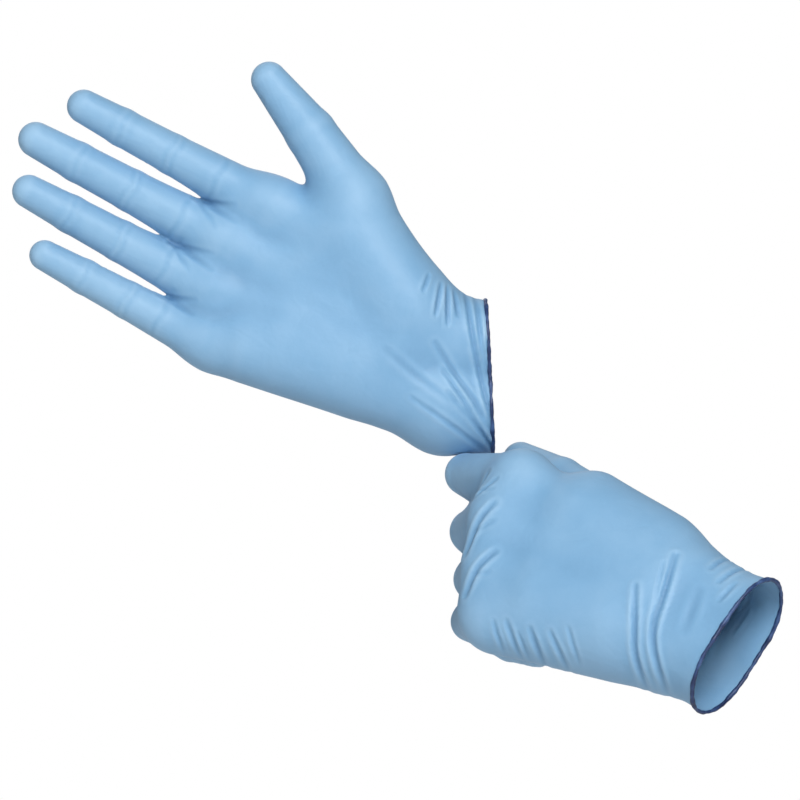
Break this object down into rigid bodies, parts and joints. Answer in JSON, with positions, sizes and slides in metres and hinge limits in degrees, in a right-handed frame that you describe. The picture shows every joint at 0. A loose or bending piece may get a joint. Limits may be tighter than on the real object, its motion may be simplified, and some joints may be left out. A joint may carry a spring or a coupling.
{
  "type": "pair of rubber gloves",
  "caption": "Pair of thin elastic work gloves with rolled cuffs, one open and one closed to a fist that holds the other cuff",
  "frame": {"origin": "Centre of the mouth of the open (right) glove, on the plane of its rolled bead.", "axes": "The open glove runs from the origin towards -X and rises, its palm faces -Y and its thumb points up (+Z); the back of the fist (left glove) faces -Y and +Z, and its mouth opens towards +X, -Y and -Z."},
  "size_m": [0.2996, 0.1458, 0.2549],
  "materials": {
    "right_film": "thin blue nitrile rubber, satin",
    "left_film": "thin blue nitrile rubber, satin",
    "bead": "rolled rubber bead, darker where it is thick"
  },
  "bodies": {
    "right_cuff": {"right_cuff": "right_film", "right_cuff_bead": "bead"},
    "right_palm": {"right_palm": "right_film"},
    "left_palm": {"left_palm": "left_film"},
    "left_cuff": {"left_cuff": "left_film", "left_cuff_bead": "bead"},
    "right_index_proximal": {"right_index_proximal": "right_film"},
    "right_index_middle": {"right_index_middle": "right_film"},
    "right_index_tip": {"right_index_tip": "right_film"},
    "right_middle_proximal": {"right_middle_proximal": "right_film"},
    "right_middle_middle": {"right_middle_middle": "right_film"},
    "right_middle_tip": {"right_middle_tip": "right_film"},
    "right_ring_proximal": {"right_ring_proximal": "right_film"},
    "right_ring_middle": {"right_ring_middle": "right_film"},
    "right_ring_tip": {"right_ring_tip": "right_film"},
    "right_little_proximal": {"right_little_proximal": "right_film"},
    "right_little_middle": {"right_little_middle": "right_film"},
    "right_little_tip": {"right_little_tip": "right_film"},
    "right_thumb_proximal": {"right_thumb_proximal": "right_film"},
    "right_thumb_tip": {"right_thumb_tip": "right_film"},
    "left_index_proximal": {"left_index_proximal": "left_film"},
    "left_index_middle": {"left_index_middle": "left_film"},
    "left_index_tip": {"left_index_tip": "left_film"},
    "left_middle_proximal": {"left_middle_proximal": "left_film"},
    "left_middle_middle": {"left_middle_middle": "left_film"},
    "left_middle_tip": {"left_middle_tip": "left_film"},
    "left_ring_proximal": {"left_ring_proximal": "left_film"},
    "left_ring_middle": {"left_ring_middle": "left_film"},
    "left_ring_tip": {"left_ring_tip": "left_film"},
    "left_little_proximal": {"left_little_proximal": "left_film"},
    "left_little_middle": {"left_little_middle": "left_film"},
    "left_little_tip": {"left_little_tip": "left_film"},
    "left_thumb_proximal": {"left_thumb_proximal": "left_film"},
    "left_thumb_tip": {"left_thumb_tip": "left_film"}
  },
  "joints": [
    {"name": "right_wrist_bend", "type": "hinge", "parent": "right_cuff", "child": "right_palm", "pos_m": [-0.01932, 0, 0.00518], "axis": [0.4695, 0, 0.8829], "range_deg": [-15, 15], "stiffness_Nm_per_rad": 0.05},
    {"name": "cuff_tug", "type": "slide", "parent": "right_cuff", "child": "left_palm", "axis": [0.828, -0.4226, -0.3686], "range_m": [0, 0.012], "stiffness_N_per_m": 60},
    {"name": "left_wrist_bend", "type": "hinge", "parent": "left_palm", "child": "left_cuff", "pos_m": [0.075, -0.092, -0.094], "axis": [-0.4928, -0.2346, -0.8379], "range_deg": [-15, 15], "stiffness_Nm_per_rad": 0.05},
    {"name": "right_index_root_bend", "type": "hinge", "parent": "right_palm", "child": "right_index_proximal", "pos_m": [-0.11136, -0.00167, 0.07903], "axis": [0.4695, 0, 0.8829], "range_deg": [0, 50], "stiffness_Nm_per_rad": 0.01},
    {"name": "right_index_middle_bend", "type": "hinge", "parent": "right_index_proximal", "child": "right_index_middle", "pos_m": [-0.12986, -0.00314, 0.08887], "axis": [0.4695, 0, 0.8829], "range_deg": [0, 84], "stiffness_Nm_per_rad": 0.01},
    {"name": "right_index_end_bend", "type": "hinge", "parent": "right_index_middle", "child": "right_index_tip", "pos_m": [-0.15001, -0.00594, 0.09959], "axis": [0.4695, 0, 0.8829], "range_deg": [0, 56], "stiffness_Nm_per_rad": 0.01},
    {"name": "right_middle_root_bend", "type": "hinge", "parent": "right_palm", "child": "right_middle_proximal", "pos_m": [-0.12652, -0.00067, 0.06331], "axis": [0.4695, 0, 0.8829], "range_deg": [0, 50], "stiffness_Nm_per_rad": 0.01},
    {"name": "right_middle_middle_bend", "type": "hinge", "parent": "right_middle_proximal", "child": "right_middle_middle", "pos_m": [-0.14677, -0.00228, 0.07408], "axis": [0.4695, 0, 0.8829], "range_deg": [0, 84], "stiffness_Nm_per_rad": 0.01},
    {"name": "right_middle_end_bend", "type": "hinge", "parent": "right_middle_middle", "child": "right_middle_tip", "pos_m": [-0.16825, -0.00526, 0.0855], "axis": [0.4695, 0, 0.8829], "range_deg": [0, 56], "stiffness_Nm_per_rad": 0.01},
    {"name": "right_ring_root_bend", "type": "hinge", "parent": "right_palm", "child": "right_ring_proximal", "pos_m": [-0.1326, -0.00167, 0.04334], "axis": [0.4772, 0, 0.8788], "range_deg": [0, 50], "stiffness_Nm_per_rad": 0.01},
    {"name": "right_ring_middle_bend", "type": "hinge", "parent": "right_ring_proximal", "child": "right_ring_middle", "pos_m": [-0.15102, -0.00314, 0.05333], "axis": [0.4772, 0, 0.8788], "range_deg": [0, 84], "stiffness_Nm_per_rad": 0.01},
    {"name": "right_ring_end_bend", "type": "hinge", "parent": "right_ring_middle", "child": "right_ring_tip", "pos_m": [-0.17108, -0.00594, 0.06423], "axis": [0.4772, 0, 0.8788], "range_deg": [0, 56], "stiffness_Nm_per_rad": 0.01},
    {"name": "right_little_root_bend", "type": "hinge", "parent": "right_palm", "child": "right_little_proximal", "pos_m": [-0.13484, -0.00367, 0.0221], "axis": [0.4772, 0, 0.8788], "range_deg": [0, 50], "stiffness_Nm_per_rad": 0.01},
    {"name": "right_little_middle_bend", "type": "hinge", "parent": "right_little_proximal", "child": "right_little_middle", "pos_m": [-0.14799, -0.00472, 0.02924], "axis": [0.4772, 0, 0.8788], "range_deg": [0, 84], "stiffness_Nm_per_rad": 0.01},
    {"name": "right_little_end_bend", "type": "hinge", "parent": "right_little_middle", "child": "right_little_tip", "pos_m": [-0.16543, -0.00716, 0.03871], "axis": [0.4772, 0, 0.8788], "range_deg": [0, 56], "stiffness_Nm_per_rad": 0.01},
    {"name": "right_thumb_root_bend", "type": "hinge", "parent": "right_palm", "child": "right_thumb_proximal", "pos_m": [-0.0622, -0.004, 0.08096], "axis": [0, -1, 0], "range_deg": [-8, 14], "stiffness_Nm_per_rad": 0.01},
    {"name": "right_thumb_end_bend", "type": "hinge", "parent": "right_thumb_proximal", "child": "right_thumb_tip", "pos_m": [-0.07338, -0.004, 0.09754], "axis": [0, -1, 0], "range_deg": [0, 32], "stiffness_Nm_per_rad": 0.01},
    {"name": "left_index_root_bend", "type": "hinge", "parent": "left_palm", "child": "left_index_proximal", "pos_m": [0.00918, -0.04819, -0.04249], "axis": [-0.5494, -0.2045, -0.8102], "range_deg": [-14, 0], "stiffness_Nm_per_rad": 0.01},
    {"name": "left_index_middle_bend", "type": "hinge", "parent": "left_index_proximal", "child": "left_index_middle", "pos_m": [-0.00749, -0.0064, -0.04174], "axis": [-0.5494, -0.2045, -0.8102], "range_deg": [-36, 0], "stiffness_Nm_per_rad": 0.01},
    {"name": "left_index_end_bend", "type": "hinge", "parent": "left_index_middle", "child": "left_index_tip", "pos_m": [0.00973, 0.00071, -0.05521], "axis": [-0.5494, -0.2045, -0.8102], "range_deg": [-24, 0], "stiffness_Nm_per_rad": 0.01},
    {"name": "left_middle_root_bend", "type": "hinge", "parent": "left_palm", "child": "left_middle_proximal", "pos_m": [-0.00287, -0.05379, -0.05771], "axis": [-0.5072, -0.2272, -0.8314], "range_deg": [-24, 0], "stiffness_Nm_per_rad": 0.01},
    {"name": "left_middle_middle_bend", "type": "hinge", "parent": "left_middle_proximal", "child": "left_middle_middle", "pos_m": [-0.01123, -0.00813, -0.06508], "axis": [-0.5072, -0.2272, -0.8314], "range_deg": [-48, 0], "stiffness_Nm_per_rad": 0.01},
    {"name": "left_middle_end_bend", "type": "hinge", "parent": "left_middle_middle", "child": "left_middle_tip", "pos_m": [0.00973, -0.00854, -0.07776], "axis": [-0.5072, -0.2272, -0.8314], "range_deg": [-32, 0], "stiffness_Nm_per_rad": 0.01},
    {"name": "left_ring_root_bend", "type": "hinge", "parent": "left_palm", "child": "left_ring_proximal", "pos_m": [-0.00684, -0.0599, -0.0786], "axis": [-0.4881, -0.2193, -0.8448], "range_deg": [-24, 0], "stiffness_Nm_per_rad": 0.01},
    {"name": "left_ring_middle_bend", "type": "hinge", "parent": "left_ring_proximal", "child": "left_ring_middle", "pos_m": [-0.01064, -0.01601, -0.0878], "axis": [-0.4881, -0.2193, -0.8448], "range_deg": [-48, 0], "stiffness_Nm_per_rad": 0.01},
    {"name": "left_ring_end_bend", "type": "hinge", "parent": "left_ring_middle", "child": "left_ring_tip", "pos_m": [0.00944, -0.01862, -0.09872], "axis": [-0.4881, -0.2193, -0.8448], "range_deg": [-32, 0], "stiffness_Nm_per_rad": 0.01},
    {"name": "left_little_root_bend", "type": "hinge", "parent": "left_palm", "child": "left_little_proximal", "pos_m": [-0.00943, -0.06386, -0.09888], "axis": [-0.4832, -0.2039, -0.8515], "range_deg": [-24, 0], "stiffness_Nm_per_rad": 0.01},
    {"name": "left_little_middle_bend", "type": "hinge", "parent": "left_little_proximal", "child": "left_little_middle", "pos_m": [-0.01124, -0.02575, -0.10698], "axis": [-0.4832, -0.2039, -0.8515], "range_deg": [-48, 0], "stiffness_Nm_per_rad": 0.01},
    {"name": "left_little_end_bend", "type": "hinge", "parent": "left_little_middle", "child": "left_little_tip", "pos_m": [0.00625, -0.02697, -0.11661], "axis": [-0.4832, -0.2039, -0.8515], "range_deg": [-32, 0], "stiffness_Nm_per_rad": 0.01},
    {"name": "left_thumb_root_bend", "type": "hinge", "parent": "left_palm", "child": "left_thumb_proximal", "pos_m": [0.03823, -0.03199, -0.05312], "axis": [-0.8439, -0.4862, -0.2266], "range_deg": [-6, 0], "stiffness_Nm_per_rad": 0.01},
    {"name": "left_thumb_end_bend", "type": "hinge", "parent": "left_thumb_proximal", "child": "left_thumb_tip", "pos_m": [0.02752, -0.01725, -0.04487], "axis": [-0.8439, -0.4862, -0.2266], "range_deg": [-4, 0], "stiffness_Nm_per_rad": 0.01}
  ],
  "couplings": [
    {"joint": "right_index_end_bend", "follows": "right_index_middle_bend", "ratio": 0.6666},
    {"joint": "right_middle_end_bend", "follows": "right_middle_middle_bend", "ratio": 0.6666},
    {"joint": "right_ring_end_bend", "follows": "right_ring_middle_bend", "ratio": 0.6666},
    {"joint": "right_little_end_bend", "follows": "right_little_middle_bend", "ratio": 0.6666},
    {"joint": "left_index_end_bend", "follows": "left_index_middle_bend", "ratio": 0.6666},
    {"joint": "left_middle_end_bend", "follows": "left_middle_middle_bend", "ratio": 0.6666},
    {"joint": "left_ring_end_bend", "follows": "left_ring_middle_bend", "ratio": 0.6666},
    {"joint": "left_little_end_bend", "follows": "left_little_middle_bend", "ratio": 0.6666}
  ]
}
